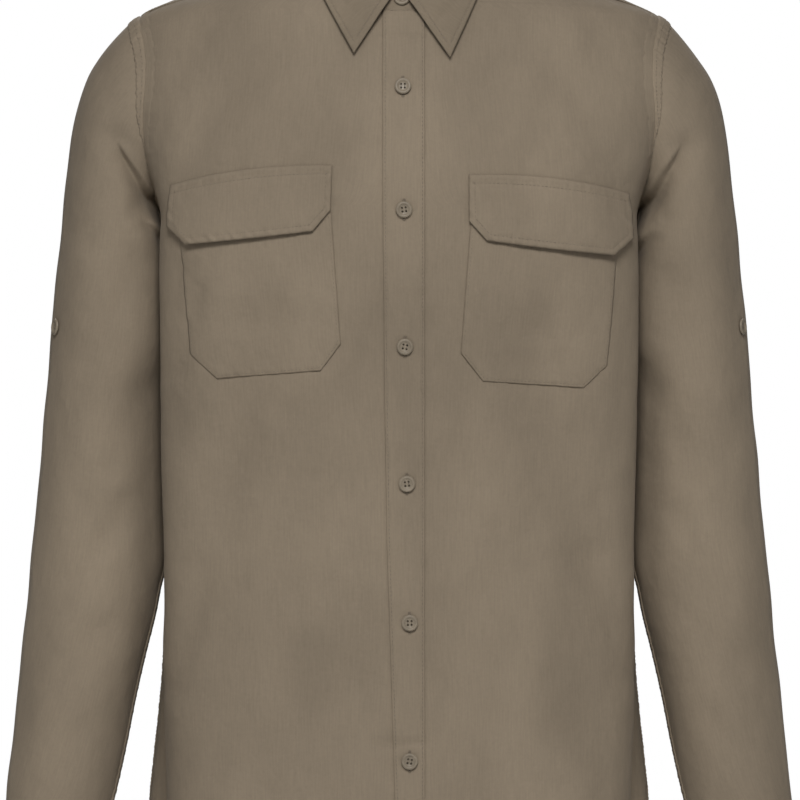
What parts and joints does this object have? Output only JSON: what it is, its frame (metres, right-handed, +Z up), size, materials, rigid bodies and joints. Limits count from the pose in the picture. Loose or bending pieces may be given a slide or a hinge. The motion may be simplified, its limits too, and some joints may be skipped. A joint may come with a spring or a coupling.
{
  "type": "long-sleeved safari shirt, filled out with no wearer",
  "caption": "Long-sleeved button-up safari shirt with a pointed collar, flapped chest pockets and roll-up sleeve buttons, hollow and open at neck, hem and cuffs.",
  "frame": {"origin": "middle of the neck opening, level with the highest points of the shoulders, where the wearer's neck and shoulders hold the shirt up", "axes": "+X is the wearer's left, -Y is the front, +Z is up"},
  "size_m": [0.6202, 0.2551, 0.8346],
  "materials": {
    "cloth": "plain-woven cotton poplin, soft khaki brown, a little sheen",
    "collar_cloth": "the same cloth, fused and a shade deeper",
    "button": "matt resin, four holes",
    "thread": "sewing thread"
  },
  "bodies": {
    "root": {"front_right": "cloth", "front_left": "cloth", "back": "cloth", "yoke": "cloth", "placket": "cloth", "collar_stand": "collar_cloth", "collar_leaf": "collar_cloth", "pocket_right": "cloth", "pocket_left": "cloth", "flap_right": "cloth", "flap_left": "cloth", "sleeve_right": "cloth", "sleeve_left": "cloth", "sleeve_placket_right": "cloth", "sleeve_placket_left": "cloth", "cuff_right": "cloth", "cuff_left": "cloth", "collar_button": "button", "front_button_1": "button", "front_button_2": "button", "front_button_3": "button", "front_button_4": "button", "front_button_5": "button", "front_button_6": "button", "sleeve_button_right": "button", "sleeve_button_left": "button", "cuff_button_right": "button", "cuff_button_left": "button"}
  },
  "joints": []
}
